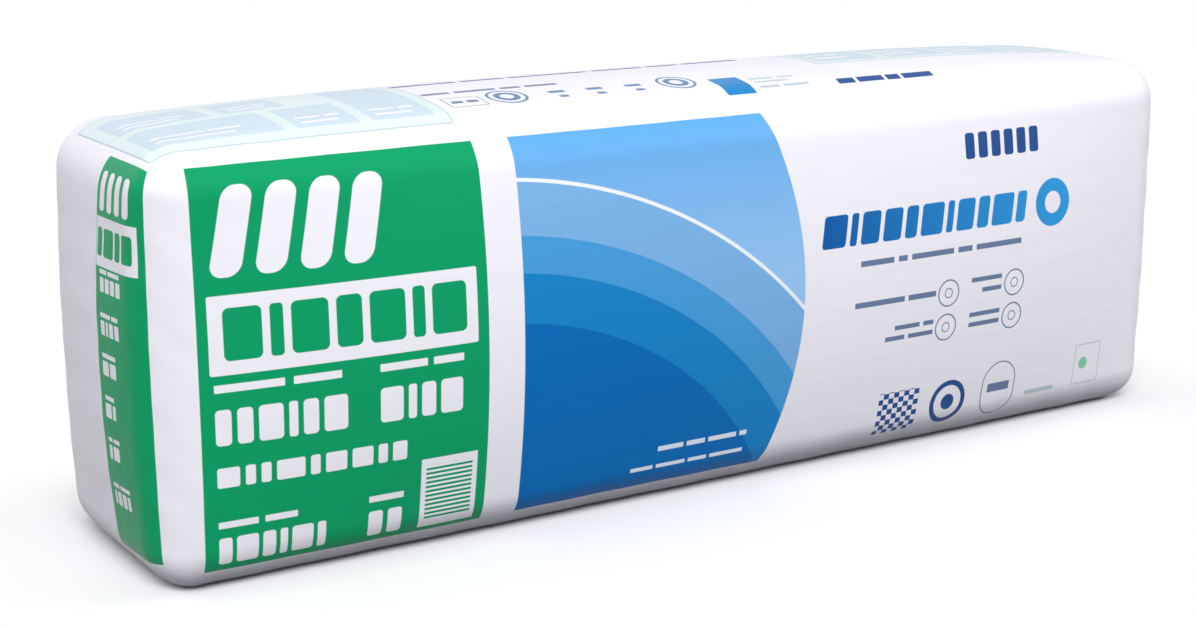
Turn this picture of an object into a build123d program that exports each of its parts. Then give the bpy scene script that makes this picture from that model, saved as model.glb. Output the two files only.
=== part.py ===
"""Bag of glass-wool insulation batts, compression packed.

Sixteen batts, each folded once across its middle, stand on edge side by side in a sealed
plastic film bag. The squeezed wool pushes the front, back and top walls of the bag out
into shallow crowns, and the film rounds the edges and corners. The bag rests on its long
narrow side.

Frame: +X along the bag, from the plain end to the welded end, +Y from the front wall to
the back wall, +Z up. The origin is on the floor, under the middle of the bag.
Millimetres.
"""

from build123d import *
from math import atan, degrees, sin, sqrt
import os

INCH = 25.4

# The batts, as they are sold
BATT_COUNT = 16
BATT_WIDTH = 16 * INCH
BATT_LENGTH = 96 * INCH

# The film bag
FILM = 1.0  # wall, drawn thicker than the real film so that it stays a closed solid
SLACK = 0.8  # between the film and the wool
BAG_DEPTH = 288.0  # over the crowns of the front and back walls
WALL_CROWN = 16.0  # front and back walls, across their height
TOP_CROWN_ACROSS = 5.0
TOP_CROWN_ALONG = 11.0
TOP_BEND = 150.0  # length of the hollow bend at each end of the top's crown
EDGE_RADIUS = 48.0
FLAT_BAND = 4.0  # between the lower and the upper arc of a wall, at the ends

# The welded end: two laps of film that meet in the middle, and the weld's fin laid flat
LAP_WIDTH = 80.0  # from the middle of the end to each lap's outer edge
LAP_HEIGHT = 250.0  # at its outer edge
LAP_SLANT = 20.0  # how much further up and down the laps reach at the middle
FIN_WIDTH = 34.0
FIN_HEIGHT = 280.0

# The stack
BATT_GAP = 0.4  # between one batt and the next
FOLD_SLIT = 0.4  # between the two halves of a folded batt
FOLD_DEPTH = 46.0  # uncut wool at the fold
WOOL_CHAMFER = 40.0  # round both ends of the stack, in place of the film's rounding

# Sizes over all
WALL = FILM + SLACK
BAG_HEIGHT = BATT_WIDTH + 2 * WALL
BAG_LENGTH = BATT_LENGTH / 2 + 2 * WALL
LAP_THICKNESS = FILM
FIN_THICKNESS = 2 * FILM

# The form that the film is drawn over
FORM_LENGTH = BAG_LENGTH - LAP_THICKNESS - FIN_THICKNESS
FORM_START = -BAG_LENGTH / 2
FORM_MIDDLE = FORM_START + FORM_LENGTH / 2
HALF_DEPTH = BAG_DEPTH / 2
SHOULDER = HALF_DEPTH - WALL_CROWN
END_HEIGHT = BAG_HEIGHT - TOP_CROWN_ALONG
ARC_HEIGHT = (END_HEIGHT - FLAT_BAND) / 2
WALL_RADIUS = (ARC_HEIGHT**2 + WALL_CROWN**2) / (2 * WALL_CROWN)
TOP_RADIUS = (SHOULDER**2 + TOP_CROWN_ACROSS**2) / (2 * TOP_CROWN_ACROSS)
REACH = 40.0  # how far a form or a cutting tool runs past the bag

# The top's line, seen from the front: level at the ends, bent up, and over the middle
RISE_RUN = FORM_LENGTH / 2 - EDGE_RADIUS - FILM
BEND_ANGLE = 2 * atan(TOP_CROWN_ALONG / RISE_RUN)
BEND_RADIUS = TOP_BEND / sin(BEND_ANGLE)
CROWN_RADIUS = (RISE_RUN - TOP_BEND) / sin(BEND_ANGLE)

def half_section(inset, rise):
    """Half of the bag's section, drawn from the middle of its height: the walls start
    upright and lean in over the rise, with a plain skirt on the other side."""
    wide = HALF_DEPTH - inset
    narrow = HALF_DEPTH - WALL_RADIUS + sqrt((WALL_RADIUS - inset) ** 2 - rise**2)
    skirt = ARC_HEIGHT + TOP_CROWN_ALONG + REACH
    with BuildSketch() as section:
        with BuildLine():
            for side in (-1, 1):
                Line((side * wide, -skirt), (side * wide, 0))
                RadiusArc((side * wide, 0), (side * narrow, rise), -side * (WALL_RADIUS - inset))
            Line((-wide, -skirt), (wide, -skirt))
            Line((-narrow, rise), (narrow, rise))
        make_face()
    return section.sketch

def bag_form(inset):
    """The packed bag's form, taken in by inset on every side, with its long edges rounded
    and its ends square."""
    start = FORM_START - REACH
    bend = degrees(BEND_ANGLE)
    with BuildLine(Plane.XZ) as top_line:
        level = Line((start, END_HEIGHT), (FORM_MIDDLE - RISE_RUN, END_HEIGHT))
        rise = JernArc(level @ 1, level % 1, BEND_RADIUS, bend)
        crown = JernArc(rise @ 1, rise % 1, CROWN_RADIUS, -2 * bend)
        fall = JernArc(crown @ 1, crown % 1, BEND_RADIUS, bend)
        Line(fall @ 1, (FORM_START + FORM_LENGTH + REACH, END_HEIGHT))

    # The lower half of the section runs straight along the bag
    lower_plane = Plane(origin=(FORM_START + inset, 0, ARC_HEIGHT), x_dir=(0, 1, 0), z_dir=(-1, 0, 0))
    with BuildSketch(lower_plane) as lower:
        add(half_section(inset, ARC_HEIGHT - inset))
        fillet(lower.vertices().group_by(Axis.Y)[-1], EDGE_RADIUS - inset)

    # The upper half follows the top's line
    upper_plane = Plane(origin=(start, 0, END_HEIGHT - ARC_HEIGHT), x_dir=(0, 1, 0), z_dir=(1, 0, 0))
    with BuildSketch(upper_plane) as upper:
        add(half_section(inset, ARC_HEIGHT))
        with Locations((0, ARC_HEIGHT - TOP_RADIUS)):
            Circle(TOP_RADIUS - inset, mode=Mode.INTERSECT)
        fillet(upper.vertices().group_by(Axis.Y)[-1], EDGE_RADIUS - inset)

    with BuildPart() as form:
        extrude(lower.sketch, amount=-(FORM_LENGTH - 2 * inset))
        sweep(upper.sketch, path=top_line.wire(), mode=Mode.INTERSECT)
    return form.part

def rounded_form(inset):
    """The same with its ends rounded as the film is."""
    with BuildPart() as form:
        add(bag_form(inset))
        fillet(form.faces().filter_by(Axis.X).edges(), EDGE_RADIUS - inset)
    return form.part

os.makedirs("parts", exist_ok=True)

weld_plane = Plane.YZ.offset(FORM_START + FORM_LENGTH)
end_middle = END_HEIGHT / 2

# The bag: one piece of film
with BuildPart() as bag_film:
    add(rounded_form(0))
    with BuildSketch(weld_plane):
        with Locations((0, end_middle)):
            outer = LAP_HEIGHT / 2
            middle = outer + LAP_SLANT
            Polygon(
                (LAP_WIDTH, -outer), (LAP_WIDTH, outer), (0, middle),
                (-LAP_WIDTH, outer), (-LAP_WIDTH, -outer), (0, -middle),
                align=None,
            )
    extrude(amount=LAP_THICKNESS, clean=False)
    with BuildSketch(weld_plane.offset(LAP_THICKNESS)):
        with Locations((FIN_WIDTH / 2, end_middle)):
            RectangleRounded(FIN_WIDTH, FIN_HEIGHT, FIN_WIDTH / 6)
    extrude(amount=FIN_THICKNESS, clean=False)
    add(rounded_form(FILM), mode=Mode.SUBTRACT, clean=False)
bag_film.part.label = "bag_film"

# The batts: the wool that fills the bag, cut into sixteen, and each one slit from the
# welded end almost to the fold
with BuildPart() as batts:
    add(bag_form(WALL))
    chamfer(batts.faces().filter_by(Axis.X).edges(), WOOL_CHAMFER)
    pitch = (BAG_DEPTH - 2 * WALL) / BATT_COUNT
    cut_height = 2 * (BAG_HEIGHT + REACH)
    with BuildSketch(Plane.YZ.offset(FORM_START - REACH)):
        with GridLocations(pitch, 0, BATT_COUNT - 1, 1):
            Rectangle(BATT_GAP, cut_height)
    extrude(amount=FORM_LENGTH + 2 * REACH, mode=Mode.SUBTRACT, clean=False)
    with BuildSketch(Plane.YZ.offset(FORM_START + FOLD_DEPTH)):
        with GridLocations(pitch, 0, BATT_COUNT, 1):
            Rectangle(FOLD_SLIT, cut_height)
    extrude(amount=FORM_LENGTH, mode=Mode.SUBTRACT, clean=False)
batts.part.label = "batts"

export_step(bag_film.part, "parts/bag_film.step")
export_step(batts.part, "parts/batts.step")
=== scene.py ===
"""Looks of the bag of insulation batts: printed film drawn tight over the pressed wool.

The bag's film is a closed form whose walls crown between rounded edges, with fine tension
folds at its corners. Its print is made of plain panels, bars and rings, in millimetres of
the wall that carries it. Sizes are in millimetres unless a comment says metres, and the
meshes are made in metres.
"""

import bmesh
import bpy
import math
import numpy as np
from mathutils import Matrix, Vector


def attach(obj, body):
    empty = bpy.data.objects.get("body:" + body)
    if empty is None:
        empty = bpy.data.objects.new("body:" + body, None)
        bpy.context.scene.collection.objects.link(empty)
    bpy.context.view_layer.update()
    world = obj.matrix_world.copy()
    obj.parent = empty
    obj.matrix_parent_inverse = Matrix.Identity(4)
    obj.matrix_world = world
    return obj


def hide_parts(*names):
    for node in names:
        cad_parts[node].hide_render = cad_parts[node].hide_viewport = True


MM = 0.001

# The straight-edged box that the bag's walls crown from
BASE = np.array([1196.0, 252.0, 391.0])
HALF = BASE / 2
ROUNDING = 42.0
LONG_CROWN = 25.0
TOP_CROWN = 19.0
END_CROWN = 13.4
WELD_CROWN = 10.4

# The six walls: name, fixed axis, its sign, and the two axes that the wall's grid runs on
CUBE_WALLS = (
    ("front", 1, -1, 0, 2),
    ("back", 1, 1, 0, 2),
    ("top", 2, 1, 0, 1),
    ("bottom", 2, -1, 0, 1),
    ("plain_end", 0, -1, 1, 2),
    ("weld_end", 0, 1, 1, 2),
)

# Squares of the film's grid along each axis, and how many of them make one of the wool's
GRID = (240, 56, 84)
WOOL_COARSER = 4
# In metres
MERGE_DISTANCE = 1e-6

# Depths of the film's folds
CORNER_FOLD = 0.35
EDGE_FOLD = 0.45
WELD_FOLD = 0.9

# The welded end: two laps, and a fin that lies on them
LAP_THICKNESS = 1.0
LAP_WIDTH = 84.0
LAP_HEIGHT = 262.0
LAP_SLANT = 24.0
FIN_THICKNESS = 2.0
FIN_WIDTH = 34.0
FIN_HEIGHT = 292.0
PATCH_GRID = (48, 96)
PATCH_RIM = 0.25

# The wool inside
BATT_COUNT = 16
BATT_GAP = 0.5
WOOL_INSET = 3.0
WOOL_HALF = 147.0

# How far past a tile of the print its material still draws the marks
TILE_EDGE = 14.0
# How fast a mark's edge goes from film to ink, in shares a millimetre
BOX_SHARPNESS = 1.6
RING_SHARPNESS = 1.2
# A bar's corner radius, as a share of its height and at most this share of its length
BAR_ROUNDING = 0.12
BAR_ROUNDING_LIMIT = 0.3

# Print colours, linear
FILM_WHITE = (0.85, 0.84, 0.89)
GREEN = (0.002, 0.32, 0.122)
DOT_GREEN = (0.25, 0.60, 0.40)
SKY_TOP = (0.11, 0.38, 0.76)
SKY_LOW = (0.30, 0.54, 0.84)
BLUE_PALE = (0.19, 0.43, 0.74)
BLUE_HALF = (0.06, 0.32, 0.66)
BLUE_MIDDLE = (0.008, 0.22, 0.54)
BLUE_DEEP = (0.001, 0.145, 0.45)
BLUE_SLATE = (0.10, 0.22, 0.40)
RING_WHITE = (0.85, 0.88, 0.9)
BAR_WHITE = (0.75, 0.82, 0.9)
ROW_DARK = (0.004, 0.10, 0.36)
ROW_LIGHT = (0.03, 0.33, 0.72)
INK = (0.02, 0.075, 0.26)
GREY_INK = (0.14, 0.20, 0.33)
TINT = (0.70, 0.80, 0.80)
TINT_DEEP = (0.56, 0.69, 0.77)
TINT_LINE = (0.47, 0.58, 0.62)

# Wool colours, linear
WOOL_DARK = (0.52, 0.44, 0.27)
WOOL_LIGHT = (0.80, 0.72, 0.52)

# Camera, from the outline of the photographed bag
CAMERA_PLACE = Vector((-1160.95, -1696.72, 656.71)) * MM
CAMERA_YAW = math.radians(32.538)
CAMERA_PITCH = math.radians(13.746)
FOCAL_PIXELS = 2028.7
IMAGE_WIDTH = 1196
SENSOR = 36.0

# Lamps, in metres and watts: name, place, target, size and power
LAMPS = (
    ("key", (-2.2, -3.9, 3.8), (0, 0, 0.2), (3.2, 2.4), 305),
    ("left", (-3.2, 2.2, 2.3), (-0.4, 0, 0.2), (2.4, 1.8), 26),
    ("right", (3.5, -2.0, 2.3), (0.4, 0, 0.2), (2.0, 1.6), 46),
)
WORLD_COLOUR = (0.91, 0.91, 1.0)
WORLD_STRENGTH = 0.36
PLAIN_WHITE = (1.0, 1.0, 1.0)

# Floor, in metres. The bag's shadow shows over the core under it, and fades out within the
# reach of that core
FLOOR_HALF = 12.0
FLOOR_SEEN = (0.93, 0.93, 0.94)
FLOOR_UNSEEN = (0.12, 0.12, 0.13)
SHADOW_CORE = (0.58, 0.12)
SHADOW_REACH = 0.17
SHADOW_SOFTNESS = 0.3


# Meshes

def add_object(name, data):
    """An object of that mesh, lamp or camera, in the scene."""
    made = bpy.data.objects.new(name, data)
    bpy.context.scene.collection.objects.link(made)
    return made


def bag_points(cube):
    """Points of the bag's film, for points on the cube from -1 to 1, and the directions out
    of it."""
    straight = cube * HALF
    core = np.clip(straight, -(HALF - ROUNDING), HALF - ROUNDING)
    out = straight - core
    length = np.linalg.norm(out, axis=1, keepdims=True)
    out = out / np.maximum(length, 1e-9)
    points = core + ROUNDING * out
    share = np.clip(points / HALF, -1, 1)
    along = 1 - np.abs(share[:, 0]) ** 4
    across = 1 - share[:, 1] ** 2
    up = 1 - share[:, 2] ** 2
    end_crown = np.where(out[:, 0] > 0, WELD_CROWN, END_CROWN)
    points[:, 0] += out[:, 0] * end_crown * across * up
    points[:, 1] += out[:, 1] * LONG_CROWN * along * up
    points[:, 2] += np.where(out[:, 2] > 0, out[:, 2] * TOP_CROWN * along * across, 0)
    points[:, 2] += HALF[2]
    return points, out


def film_folds(points, out):
    """Depth of the fine folds that the film's tension draws at its corners and along its long
    edges, and of the deeper ones round the weld."""
    x, y, z = points.T
    share = np.abs(points - np.array([0, 0, HALF[2]])) / HALF
    # Where the three kinds of folds lie
    corner = np.clip(share[:, 0] - 0.80, 0, 1) / 0.2
    edge = np.clip(np.abs(out[:, 1] * out[:, 2]) * 2, 0, 1)
    reach = np.hypot((z - HALF[2]) / HALF[2], y / HALF[1])
    weld = np.clip(out[:, 0], 0, 1) * np.clip(reach - 0.55, 0, 0.5) * 2
    # Their waves, of uneven length
    rays = np.sin(0.11 * (x + 0.8 * z) + 1.3 * np.sin(0.021 * x)) * np.sin(0.043 * z + 0.9)
    ripples = np.sin(0.052 * x + 1.1 * np.sin(0.013 * x + 2.0)) * np.sin(0.031 * x + 0.4)
    angle = np.arctan2(z - HALF[2], y * 1.6)
    gathers = np.sin(17 * angle + 2.2 * np.sin(3 * angle)) * np.sin(5 * angle + 1.0)
    return CORNER_FOLD * corner * rays + EDGE_FOLD * edge * ripples + WELD_FOLD * weld * gathers


def unrolled(share, half):
    """Distance from the wall's middle along the film, round its edges."""
    straight = np.abs(share) * half
    bend = np.arctan(np.maximum(straight - half + ROUNDING, 0) / ROUNDING)
    return np.sign(share) * (np.minimum(straight, half - ROUNDING) + ROUNDING * bend)


def spread(count):
    """Grid stations from -1 to 1, closer together near the edges."""
    even = np.linspace(-1, 1, count + 1)
    return 0.7 * np.sin(even * math.pi / 2) + 0.3 * even


def wall_grid(axis, sign, first, second, coarser=1):
    """Points on one wall of the cube from -1 to 1, and the quads between them, which face
    out of the cube."""
    rows, columns = GRID[first] // coarser, GRID[second] // coarser
    a, b = np.meshgrid(spread(rows), spread(columns), indexing="ij")
    cube = np.zeros((a.size, 3))
    cube[:, axis] = sign
    cube[:, first] = a.ravel()
    cube[:, second] = b.ravel()
    index = np.arange(a.size).reshape(a.shape)
    corners = (index[:-1, :-1], index[1:, :-1], index[1:, 1:], index[:-1, 1:])
    quads = np.stack(corners, axis=-1).reshape(-1, 4)
    handed = np.linalg.det(np.eye(3)[[first, second, axis]]) * sign
    if handed < 0:
        quads = quads[:, ::-1]
    return cube, quads


def make_bag(tiles):
    """One closed mesh, with a UV map in metres of each wall and a material for each tile of
    its print."""
    vertices, faces, slots, flat = [], [], [], []
    start = 0
    for name, axis, sign, first, second in CUBE_WALLS:
        cube, quads = wall_grid(axis, sign, first, second)
        points, out = bag_points(cube)
        points += out * film_folds(points, out)[:, None]
        points[:, 2] = np.maximum(points[:, 2], 0)
        places = np.stack([unrolled(cube[:, n], HALF[n]) for n in (first, second)], axis=1)
        if second == 2:
            places[:, 1] += HALF[2]
        slots.append(tiles[name].slots(places[quads].mean(axis=1)))
        vertices.append(points)
        faces.append(quads + start)
        flat.append(places)
        start += len(points)
    vertices = np.concatenate(vertices) * MM
    faces = np.concatenate(faces)
    flat = np.concatenate(flat) * MM
    mesh = bpy.data.meshes.new("bag")
    mesh.from_pydata(vertices.tolist(), [], faces.tolist())
    uv = mesh.uv_layers.new(name="wall")
    uv.data.foreach_set("uv", flat[faces.ravel()].ravel().astype(np.float32))
    for wall in tiles.values():
        for material in wall.materials:
            mesh.materials.append(material)
    mesh.polygons.foreach_set("material_index", np.concatenate(slots))
    return finish_mesh(mesh, "bag")


def finish_mesh(mesh, name):
    """An object of that mesh with its doubled points merged and its faces smooth."""
    work = bmesh.new()
    work.from_mesh(mesh)
    bmesh.ops.remove_doubles(work, verts=work.verts, dist=MERGE_DISTANCE)
    work.to_mesh(mesh)
    work.free()
    mesh.polygons.foreach_set("use_smooth", [True] * len(mesh.polygons))
    return add_object(name, mesh)


def wool_shell():
    """The film's form on a coarser grid, taken in a little."""
    shell = bmesh.new()
    for _, axis, sign, first, second in CUBE_WALLS:
        cube, quads = wall_grid(axis, sign, first, second, WOOL_COARSER)
        points, out = bag_points(cube)
        points -= out * WOOL_INSET
        corners = [shell.verts.new(point) for point in points * MM]
        for quad in quads:
            shell.faces.new([corners[n] for n in quad])
    bmesh.ops.remove_doubles(shell, verts=shell.verts, dist=MERGE_DISTANCE)
    return shell


def make_wool():
    """The pressed wool just inside the film, as the two layers of each folded batt."""
    layer_count = 2 * BATT_COUNT
    pitch = 2 * WOOL_HALF / layer_count
    shell = wool_shell()
    mesh = bpy.data.meshes.new("wool")
    joined = bmesh.new()
    for layer in range(layer_count):
        start = -WOOL_HALF + layer * pitch
        cut = shell.copy()
        for place, side in ((start, -1), (start + pitch - BATT_GAP, 1)):
            everything = cut.verts[:] + cut.edges[:] + cut.faces[:]
            plane = {"plane_co": (0, place * MM, 0), "plane_no": (0, side, 0)}
            sliced = bmesh.ops.bisect_plane(cut, geom=everything, clear_outer=True, **plane)
            rim = [part for part in sliced["geom_cut"] if isinstance(part, bmesh.types.BMEdge)]
            bmesh.ops.edgeloop_fill(cut, edges=rim)
        cut.to_mesh(mesh)
        cut.free()
        joined.from_mesh(mesh)
    shell.free()
    mesh.clear_geometry()
    joined.to_mesh(mesh)
    joined.free()
    return add_object("wool", mesh)


def weld_surface(y, z):
    """How far along the bag the welded end's film lies at that place."""
    across = 1 - (y / HALF[1]) ** 2
    up = 1 - ((z - HALF[2]) / HALF[2]) ** 2
    return HALF[0] + WELD_CROWN * across * up


def weld_patch(name, start, end, half_height, thickness, below):
    """A thin sheet over the welded end between two places across it, from a function that
    gives its half height at each, laid on what is below it."""
    columns, rows = PATCH_GRID
    y = start + (end - start) * np.linspace(0, 1, columns + 1)
    vertices, faces = [], []
    for level in (0, 1):
        for i in range(columns + 1):
            tall = half_height(y[i])
            for j in range(rows + 1):
                z = HALF[2] + tall * (2 * j / rows - 1)
                # The sheet thins towards its rim
                rim = min(i, columns - i, j, rows - j) / 2
                lift = below + thickness * level * min(1, PATCH_RIM + rim)
                vertices.append((weld_surface(y[i], z) + lift, y[i], z))
    stride = rows + 1
    layer = (columns + 1) * stride
    for i in range(columns):
        for j in range(rows):
            a = i * stride + j
            faces.append((a + layer, a + stride + layer, a + stride + 1 + layer, a + 1 + layer))
            faces.append((a, a + 1, a + stride + 1, a + stride))
    rim = [i * stride for i in range(columns)]
    rim += [columns * stride + j for j in range(rows)]
    rim += [i * stride + rows for i in range(columns, 0, -1)]
    rim += [j for j in range(rows, 0, -1)]
    for a, b in zip(rim, rim[1:] + rim[:1]):
        faces.append((a, b, b + layer, a + layer))
    mesh = bpy.data.meshes.new(name)
    mesh.from_pydata((np.array(vertices) * MM).tolist(), [], faces)
    return finish_mesh(mesh, name)


def lap_half_height(y):
    """The laps are taller at their middle than at their sides."""
    return LAP_HEIGHT / 2 + LAP_SLANT * (1 - abs(y) / LAP_WIDTH)


def fin_half_height(y):
    return FIN_HEIGHT / 2


# Materials

class Nodes:
    """Short names for building a node tree. A value is a number, a colour or a socket."""

    def __init__(self, tree):
        self.tree = tree

    def node(self, kind, **settings):
        made = self.tree.nodes.new(kind)
        for key, value in settings.items():
            setattr(made, key, value)
        return made

    def link(self, source, target):
        if isinstance(source, (int, float)):
            target.default_value = source
        elif isinstance(source, tuple):
            target.default_value = (*source, 1) if target.type == "RGBA" else source
        else:
            self.tree.links.new(source, target)

    def fill(self, made, **values):
        """Give a node's inputs their values, with _ for a space in an input's name."""
        for name, value in values.items():
            self.link(value, made.inputs[name.replace("_", " ")])
        return made

    def math(self, operation, a, b=None, c=None, clamp=False):
        made = self.node("ShaderNodeMath", operation=operation, use_clamp=clamp)
        for value, socket in zip((a, b, c), made.inputs):
            if value is not None:
                self.link(value, socket)
        return made.outputs[0]

    def length(self, a, b):
        """Length of the diagonal across two sides."""
        square = self.math("ADD", self.math("MULTIPLY", a, a), self.math("MULTIPLY", b, b))
        return self.math("SQRT", square)

    def mix(self, mask, below, above):
        made = self.node("ShaderNodeMix", data_type="RGBA")
        self.link(mask, made.inputs["Factor"])
        self.link(below, made.inputs[6])
        self.link(above, made.inputs[7])
        return made.outputs[2]

    def ramp(self, value, stops):
        made = self.node("ShaderNodeValToRGB")
        elements = made.color_ramp.elements
        while len(elements) < len(stops):
            elements.new(0.5)
        for element, (place, colour) in zip(elements, stops):
            element.position = place
            element.color = (*colour, 1)
        self.link(value, made.inputs[0])
        return made.outputs[0]

    def stretched(self, place, scale):
        return self.fill(self.node("ShaderNodeMapping"), Vector=place, Scale=scale).outputs[0]

    def noise(self, place, scale, detail):
        made = self.node("ShaderNodeTexNoise")
        self.fill(made, Vector=place, Scale=scale, Detail=detail)
        return made.outputs["Fac"]

    def bump(self, height, strength, distance):
        made = self.node("ShaderNodeBump")
        self.fill(made, Height=height, Strength=strength, Distance=distance)
        return made.outputs[0]

    def seen(self):
        """1 for what the camera sees by itself, in a reflection or through something."""
        path = self.node("ShaderNodeLightPath").outputs
        straight = self.math("MAXIMUM", path["Is Camera Ray"], path["Is Glossy Ray"])
        return self.math("MAXIMUM", straight, path["Is Transmission Ray"])

    def blend(self, mask, below, above, output):
        """Two shaders blended, as the surface of the tree's output."""
        made = self.node("ShaderNodeMixShader")
        self.link(mask, made.inputs[0])
        self.link(below.outputs[0], made.inputs[1])
        self.link(above.outputs[0], made.inputs[2])
        self.link(made.outputs[0], self.tree.nodes[output].inputs["Surface"])


class Surface(Nodes):
    """The node tree of a new material."""

    def __init__(self, name):
        self.material = bpy.data.materials.new(name)
        self.material.use_nodes = True
        super().__init__(self.material.node_tree)
        self.shader = self.tree.nodes["Principled BSDF"]

    def place(self):
        return self.node("ShaderNodeTexCoord").outputs["Object"]


def box_group():
    """Node group: 1 inside a rounded box, from a point, its middle, half sizes and radius."""
    group = bpy.data.node_groups.new("print_box", "ShaderNodeTree")
    for name in ("u", "v", "middle u", "middle v", "half u", "half v", "radius", "line"):
        group.interface.new_socket(name, in_out="INPUT", socket_type="NodeSocketFloat")
    group.interface.new_socket("mask", in_out="OUTPUT", socket_type="NodeSocketFloat")
    n = Nodes(group)
    given = n.node("NodeGroupInput").outputs
    sides = []
    for place, middle, half in (("u", "middle u", "half u"), ("v", "middle v", "half v")):
        away = n.math("ABSOLUTE", n.math("SUBTRACT", given[place], given[middle]))
        sides.append(n.math("ADD", n.math("SUBTRACT", away, given[half]), given["radius"]))
    outside = n.length(*[n.math("MAXIMUM", side, 0.0) for side in sides])
    inside = n.math("MINIMUM", n.math("MAXIMUM", *sides), 0.0)
    distance = n.math("SUBTRACT", n.math("ADD", outside, inside), given["radius"])
    # With a line width, only the outline is inked
    half_line = n.math("MULTIPLY", given["line"], 0.5)
    outline = n.math("SUBTRACT", n.math("ABSOLUTE", distance), half_line)
    lined = n.math("GREATER_THAN", given["line"], 0.0)
    filled = n.math("MULTIPLY", distance, n.math("SUBTRACT", 1.0, lined))
    shown = n.math("MULTIPLY_ADD", outline, lined, filled)
    mask = n.math("MULTIPLY_ADD", shown, -BOX_SHARPNESS, 0.5, clamp=True)
    n.link(mask, n.node("NodeGroupOutput").inputs[0])
    return group


class Print(Surface):
    """The print of one tile of a wall. Its places are millimetres along the wall from the
    end on the reader's left, and up, or back on the top, from the wall's other edge."""

    def __init__(self, name, box, wall, reach):
        super().__init__(name)
        self.box_group = box
        self.reach = reach
        split = self.node("ShaderNodeSeparateXYZ")
        self.link(self.node("ShaderNodeUVMap", uv_map="wall").outputs[0], split.inputs[0])
        self.u = self.math("MULTIPLY_ADD", split.outputs[0], wall.sign / MM, wall.u_zero)
        self.v = self.math("MULTIPLY_ADD", split.outputs[1], 1 / MM, wall.v_zero)
        self.upright = self.u
        self.colour = FILM_WHITE

    def lean(self, middle, share):
        """The next marks lean to the right, about the height of their middle."""
        rise = self.math("SUBTRACT", self.v, middle)
        self.u = self.math("MULTIPLY_ADD", rise, -share, self.upright)

    def stand(self):
        """The next marks are upright again."""
        self.u = self.upright

    def covers(self, u0, v0, u1, v1):
        """Whether a mark comes near the tile."""
        low_u, low_v, high_u, high_v = self.reach
        return u1 > low_u and u0 < high_u and v1 > low_v and v0 < high_v

    def box_mask(self, u0, v0, u1, v1, radius=0.0, line=0.0):
        made = self.node("ShaderNodeGroup", node_tree=self.box_group)
        half_u, half_v = (u1 - u0) / 2, (v1 - v0) / 2
        values = (self.u, self.v, u0 + half_u, v0 + half_v, half_u, half_v, radius, line)
        for value, socket in zip(values, made.inputs):
            self.link(value, socket)
        return made.outputs[0]

    def within(self, distance):
        """1 where a distance is below 0, with a soft edge."""
        return self.math("MULTIPLY_ADD", distance, -RING_SHARPNESS, 0.5, clamp=True)

    def ink(self, mask, colour):
        self.colour = self.mix(mask, self.colour, colour)

    def box(self, colour, u0, v0, u1, v1, radius=0.0, line=0.0):
        if self.covers(u0, v0, u1, v1):
            self.ink(self.box_mask(u0, v0, u1, v1, radius, line), colour)

    def filled(self, colour, mask, u0, v0, u1, v1):
        """A pattern's mask, inked inside a box."""
        self.ink(self.math("MULTIPLY", mask, self.box_mask(u0, v0, u1, v1)), colour)

    def disc(self, colour, u, v, radius, line=0.0):
        self.box(colour, u - radius, v - radius, u + radius, v + radius, radius, line)

    def bars(self, colour, u, v, lengths, height, gap):
        """Plain bars in a row, as stand-ins for a printed line."""
        for length in lengths:
            radius = min(height * BAR_ROUNDING, length * BAR_ROUNDING_LIMIT)
            self.box(colour, u, v, u + length, v + height, radius)
            u += length + gap

    def rows(self, colour, *rows):
        """Rows of bars, each given by its left and low edge, lengths, height and gap."""
        for row in rows:
            self.bars(colour, *row)

    def stripes(self, value, pitch):
        """1 on the first half of every pitch."""
        return self.math("LESS_THAN", self.math("FRACT", self.math("DIVIDE", value, pitch)), 0.5)


def green_panel(p):
    """Green panel with leaning bars, a white box and plain bars."""
    p.box(GREEN, 37.5, 21, 308, 377)
    p.lean(321.0, 0.22)
    for u in (58, 98, 138, 178):
        p.box(FILM_WHITE, u, 283, u + 28, 360, 12)
    p.stand()
    p.box(FILM_WHITE, 47, 199, 297, 268, 2)
    p.bars(GREEN, 60, 211, (34, 12, 34, 24, 34, 12, 34), 46, 7)
    p.rows(
        FILM_WHITE,
        (50, 184, (62, 44), 7, 8),
        (200, 184, (46, 30), 7, 6),
        (50, 137, (14, 14, 22, 8, 14, 22), 32, 5),
        (200, 137, (22, 8, 14, 22), 32, 5),
        (50, 99, (20, 9, 9, 26, 9, 20, 20, 9, 14), 18, 5),
        (50, 62, (36, 30), 6, 6),
        (190, 62, (34,), 6, 6),
        (50, 28, (12, 20, 12, 7, 20, 8), 25, 4),
        (190, 28, (14, 14), 25, 5),
    )
    p.box(FILM_WHITE, 241, 26, 298, 95)
    striped = (246, 34, 293, 88)
    if p.covers(*striped):
        p.filled(GREEN, p.stripes(p.v, 4.4), *striped)


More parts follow.
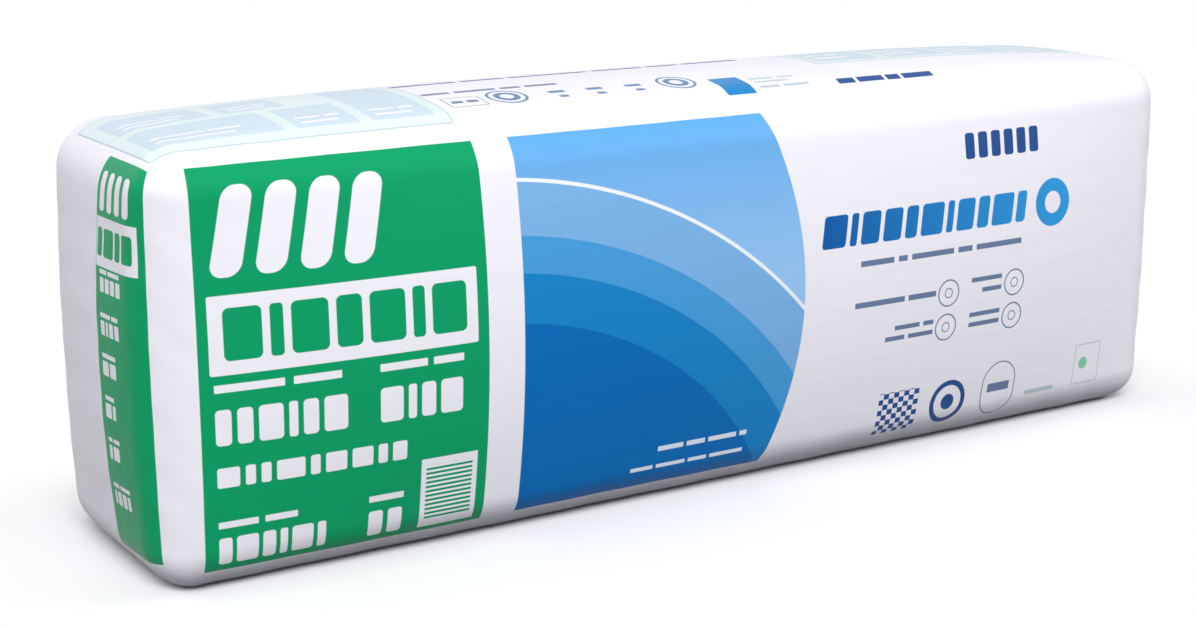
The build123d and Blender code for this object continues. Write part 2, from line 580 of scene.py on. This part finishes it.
def blue_panel(p):
    """Blue panel of rings about a point below its corner, with a bowed edge on the right."""
    panel = (345, 22, 680, 377)
    if not p.covers(*panel):
        return
    away = p.length(p.math("SUBTRACT", p.u, 300.0), p.math("SUBTRACT", p.v, -160.0))
    height = p.math("DIVIDE", p.v, BASE[2])
    colour = p.ramp(height, ((0.55, SKY_LOW), (0.97, SKY_TOP)))
    for radius, ring in ((500, BLUE_PALE), (452, BLUE_HALF), (418, BLUE_MIDDLE), (372, BLUE_DEEP)):
        colour = p.mix(p.within(p.math("SUBTRACT", away, radius)), colour, ring)
        if ring == BLUE_PALE:
            # A thin white line just outside the widest ring
            beside = p.math("ABSOLUTE", p.math("SUBTRACT", away, radius + 2.0))
            colour = p.mix(p.within(p.math("SUBTRACT", beside, 1.75)), colour, RING_WHITE)
    # The right edge bows out at the middle of the wall's height
    rise = p.math("SUBTRACT", p.v, 200.0)
    bow = p.math("MULTIPLY_ADD", p.math("MULTIPLY", rise, rise), -0.0012, 668.0)
    p.filled(colour, p.within(p.math("SUBTRACT", p.u, bow)), *panel)
    p.rows(BAR_WHITE, (500, 58, (30, 22, 34, 9), 5, 4), (470, 40, (26, 34, 22, 40), 4, 4))


def plain_marks(p):
    """Bars and rings on the white right part of the front."""
    p.bars(INK, 884, 311, (13, 13, 13, 13, 13, 13), 27, 5.4)
    place = p.math("DIVIDE", p.math("SUBTRACT", p.u, 691.0), 350.0)
    shade = p.ramp(place, ((0, ROW_DARK), (1, ROW_LIGHT)))
    p.lean(254.0, 0.16)
    p.bars(shade, 691, 238, (30, 9, 24, 24, 16, 30, 9, 24, 16, 30, 14), 33, 5.2)
    p.stand()
    p.disc(shade, 1010, 254, 26)
    p.disc(FILM_WHITE, 1010, 254, 12)
    for u, v in ((860, 173), (955, 173), (859, 136), (955, 136)):
        p.disc(GREY_INK, u, v, 14, 1.6)
        p.disc(GREY_INK, u, v, 5, 1.2)
    p.rows(
        GREY_INK,
        (739, 215, (44, 12, 58, 20, 66), 6, 6),
        (733, 172, (66, 38), 6, 5),
        (892, 180, (44,), 5, 5),
        (908, 168, (28,), 5, 5),
        (788, 142, (34, 14), 5, 5),
        (776, 131, (26, 34), 5, 5),
        (892, 142, (44,), 5, 5),
        (892, 131, (44,), 5, 5),
    )
    chequered = (778, 25, 833, 73)
    if p.covers(*chequered):
        differ = p.math("SUBTRACT", p.stripes(p.u, 14.0), p.stripes(p.v, 12.0))
        p.filled(INK, p.math("ABSOLUTE", differ), *chequered)
    p.disc(INK, 876, 49, 22, 6)
    p.disc(INK, 876, 49, 9)
    p.box(GREY_INK, 925, 22, 973, 84, 24, 1.4)
    p.bars(GREY_INK, 933, 50, (32,), 10, 4)
    p.bars(TINT_LINE, 992, 38, (44,), 5, 4)
    p.box(TINT_LINE, 1066, 38, 1106, 84, 0, 1.2)
    p.disc(DOT_GREEN, 1080, 62, 7)


def top_marks(p):
    """Pale panels, rings and rules on the top wall."""
    left_panel = (12, 22, 300, 200, 3)
    left_boxes = (
        (22, 34, 120, 66),
        (22, 112, 84, 64),
        (118, 112, 60, 64),
        (154, 34, 60, 66),
        (226, 34, 62, 142),
    )
    p.box(TINT, *left_panel)
    for u, v, length, width in left_boxes:
        p.box(TINT_DEEP, u, v, u + length, v + width, 2)
        p.bars(FILM_WHITE, u + 8, v + 10, (length * 0.6,), 5, 4)
        p.bars(FILM_WHITE, u + 8, v + 24, (length * 0.4, length * 0.25), 5, 4)
    p.box(TINT_LINE, *left_panel, 1.6)
    p.box(GREY_INK, 312, 44, 350, 72, 3, 1.2)
    p.bars(GREY_INK, 317, 54, (12, 12), 7, 4)
    for u in (378, 569):
        p.disc(BLUE_SLATE, u, 62, 19, 3)
        p.disc(BLUE_SLATE, u, 62, 10, 6)
    for u in (424, 466, 510):
        p.rows(BLUE_SLATE, (u, 60, (18,), 7, 4), (u + 4, 46, (10,), 6, 4))
    p.box(BLUE_MIDDLE, 606, 24, 641, 62, 2)
    p.rows(
        TINT_LINE,
        (650, 50, (30, 20), 4, 5),
        (650, 40, (42,), 4, 5),
        (650, 30, (24, 32), 4, 5),
    )
    p.bars(INK, 747, 27, (22, 34, 18, 40), 8, 4)
    p.bars(GREY_INK, 303, 88, (30, 44, 22, 36), 7, 5)
    p.bars(INK, 302, 147, (70, 48, 90, 60, 38, 70), 12, 6)
    right_panel = (764, 86, 1153, 190, 3)
    p.box(TINT, *right_panel)
    for u in (774, 869, 964, 1059):
        p.box(TINT_DEEP, u, 96, u + 84, 180, 2)
        p.rows(FILM_WHITE, (u + 8, 110, (44,), 7, 4), (u + 8, 130, (24, 20), 7, 4))
    p.box(TINT_LINE, *right_panel, 1.8)


def end_marks(p):
    """Green strip with a white box and rows of short bars on the plain end."""
    p.box(GREEN, 17, 29, 98, 378)
    for u in (34, 50, 66, 82):
        p.box(FILM_WHITE, u, 332, u + 10, 366, 4)
    p.box(FILM_WHITE, 24, 284, 97, 327, 1)
    p.bars(GREEN, 30, 293, (16, 10, 20, 10), 25, 3)
    groups = (
        (262, (22, 14), (8, 8, 8, 8)),
        (224, (12, 20), (8, 8, 4, 8)),
        (188, (26,), (12, 12)),
        (150, (18,), (6, 12)),
        (112, (12, 8), (12, 6)),
        (70, (20, 12), (6, 8, 8, 4)),
    )
    gap = 2.5
    for v, small, large in groups:
        for lengths, rise, height in ((small, 16, 4), (large, 0, 13)):
            # The bars end at the same place on the right
            left = 92 - sum(lengths) - gap * len(lengths)
            p.bars(FILM_WHITE, left, v + rise, lengths, height, gap)


class Wall:
    """How a wall's print is placed, and the tiles that it is cut into. A tile's material
    holds only the marks near it, which keeps the render short."""

    def __init__(self, u_zero, v_zero, marks=(), sign=1, u_cuts=(), v_cuts=()):
        self.u_zero = u_zero
        self.v_zero = v_zero
        self.marks = marks
        self.sign = sign
        self.u_cuts = u_cuts
        self.v_cuts = v_cuts
        self.materials = []
        self.first_slot = 0

    def paint(self, name, box, first_slot):
        """Make the materials of the wall's tiles."""
        self.first_slot = first_slot
        far = 5000.0
        rows = (-far, *self.v_cuts, far)
        columns = (-far, *self.u_cuts, far)
        for v0, v1 in zip(rows, rows[1:]):
            for u0, u1 in zip(columns, columns[1:]):
                reach = (u0 - TILE_EDGE, v0 - TILE_EDGE, u1 + TILE_EDGE, v1 + TILE_EDGE)
                number = len(self.materials) + 1
                tile = Print(f"film_{name}_{number}", box, self, reach)
                for draw in self.marks:
                    draw(tile)
                self.materials.append(film(tile))

    def slots(self, middle):
        """Material slots of faces, from their middles on the wall."""
        u = middle[:, 0] * self.sign + self.u_zero
        v = middle[:, 1] + self.v_zero
        column = np.searchsorted(self.u_cuts, u)
        row = np.searchsorted(self.v_cuts, v)
        return (self.first_slot + row * (len(self.u_cuts) + 1) + column).astype(np.int32)


def make_tiles():
    """The print of the six walls. The back carries the front's print again."""
    half_x, half_y = HALF[:2]
    marks = (green_panel, blue_panel, plain_marks)
    cuts = {"u_cuts": (100, 190, 326, 700, 870, 980), "v_cuts": (60, 125, 197, 272)}
    top_cuts = {"u_cuts": (160, 306, 590, 740, 950), "v_cuts": (84,)}
    walls = {
        "front": Wall(half_x, 0.0, marks, **cuts),
        "back": Wall(half_x, 0.0, marks, sign=-1, **cuts),
        "top": Wall(half_x, half_y, (top_marks,), **top_cuts),
        "bottom": Wall(half_x, half_y),
        "plain_end": Wall(half_y, 0.0, (end_marks,), v_cuts=(100, 175, 255)),
        "weld_end": Wall(half_y, 0.0),
    }
    box = box_group()
    count = 0
    for name, wall in walls.items():
        wall.paint(name, box, count)
        count += len(wall.materials)
    return walls


def film(p):
    """Printed polyethylene film: glossy, with a faint haze of tension lines."""
    place = p.place()
    haze = p.noise(place, scale=9.0, detail=4.0)
    lines = p.noise(p.stretched(place, (5.0, 40.0, 30.0)), scale=1.0, detail=3.0)
    p.fill(
        p.shader,
        Base_Color=p.colour,
        Roughness=p.math("MULTIPLY_ADD", haze, 0.12, 0.30),
        Specular_IOR_Level=0.12,
        Normal=p.bump(lines, strength=0.22, distance=0.004),
    )
    return p.material


def glass_wool():
    """Pressed wool: pale tan with fine layers and fibres."""
    n = Surface("glass_wool")
    grain = n.noise(n.stretched(n.place(), (30.0, 900.0, 30.0)), scale=1.0, detail=6.0)
    n.fill(
        n.shader,
        Base_Color=n.ramp(grain, ((0.3, WOOL_DARK), (0.7, WOOL_LIGHT))),
        Roughness=0.95,
        Normal=n.bump(grain, strength=0.5, distance=0.002),
    )
    return n.material


# Stage

def make_floor():
    """White floor that keeps the bag's shadow and shows plain white to the camera."""
    size = FLOOR_HALF
    corners = [(-size, -size, 0), (size, -size, 0), (size, size, 0), (-size, size, 0)]
    mesh = bpy.data.meshes.new("floor")
    mesh.from_pydata(corners, [], [(0, 1, 2, 3)])
    floor = add_object("floor", mesh)
    n = Surface("floor_white")
    seen = n.seen()
    n.fill(
        n.shader,
        Base_Color=n.mix(seen, FLOOR_UNSEEN, FLOOR_SEEN),
        Roughness=0.9,
        Specular_IOR_Level=0.0,
    )
    # Away from the bag the floor shows plain white, and close to it the bag's shadow
    split = n.node("ShaderNodeSeparateXYZ")
    n.link(n.place(), split.inputs[0])
    beyond = []
    for place, core in zip(split.outputs, SHADOW_CORE):
        beyond.append(n.math("MAXIMUM", n.math("SUBTRACT", n.math("ABSOLUTE", place), core), 0.0))
    far = n.math("DIVIDE", n.length(*beyond), SHADOW_REACH)
    away = n.math("SMOOTH_MIN", far, 1.0, SHADOW_SOFTNESS, clamp=True)
    white = n.fill(n.node("ShaderNodeEmission"), Color=PLAIN_WHITE, Strength=1.0)
    n.blend(n.math("MULTIPLY", away, seen), n.shader, white, "Material Output")
    mesh.materials.append(n.material)


def make_lights():
    for name, place, target, size, power in LAMPS:
        data = bpy.data.lights.new(name, "AREA")
        data.shape = "RECTANGLE"
        data.size, data.size_y = size
        data.energy = power
        lamp = add_object(name, data)
        lamp.location = place
        aim = Vector(target) - Vector(place)
        lamp.rotation_euler = aim.to_track_quat("-Z", "Y").to_euler()


def make_world():
    """A dim world for the light, which is plain white where the camera sees it."""
    world = bpy.data.worlds.new("studio")
    bpy.context.scene.world = world
    world.use_nodes = True
    n = Nodes(world.node_tree)
    plain = n.fill(n.tree.nodes["Background"], Color=WORLD_COLOUR, Strength=WORLD_STRENGTH)
    white = n.fill(n.node("ShaderNodeBackground"), Color=PLAIN_WHITE, Strength=1.0)
    n.blend(n.seen(), plain, white, "World Output")


def make_camera():
    data = bpy.data.cameras.new("camera")
    data.sensor_width = SENSOR
    data.lens = SENSOR * FOCAL_PIXELS / IMAGE_WIDTH
    data.clip_end = 50
    camera = add_object("camera", data)
    camera.location = CAMERA_PLACE
    camera.rotation_euler = (math.pi / 2 - CAMERA_PITCH, 0, -CAMERA_YAW)
    bpy.context.scene.camera = camera


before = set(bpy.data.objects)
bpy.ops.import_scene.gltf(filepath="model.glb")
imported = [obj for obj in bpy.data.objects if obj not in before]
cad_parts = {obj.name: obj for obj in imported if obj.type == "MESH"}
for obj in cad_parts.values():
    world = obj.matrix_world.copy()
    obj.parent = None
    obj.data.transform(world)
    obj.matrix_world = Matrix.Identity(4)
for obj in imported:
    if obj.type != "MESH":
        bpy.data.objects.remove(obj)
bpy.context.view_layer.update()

make_camera()
make_lights()
make_world()
make_floor()
bpy.context.scene.view_settings.view_transform = "Standard"

tiles = make_tiles()
bag = make_bag(tiles)
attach(bag, "root")
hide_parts("bag_film")

laps = weld_patch("weld_laps", -LAP_WIDTH, LAP_WIDTH, lap_half_height, LAP_THICKNESS, 0.0)
fin = weld_patch("weld_fin", 0.0, FIN_WIDTH, fin_half_height, FIN_THICKNESS, LAP_THICKNESS)
for piece in (laps, fin):
    piece.data.materials.append(tiles["weld_end"].materials[0])
    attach(piece, "root")

wool = make_wool()
wool.data.materials.append(glass_wool())
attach(wool, "root")
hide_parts("batts")
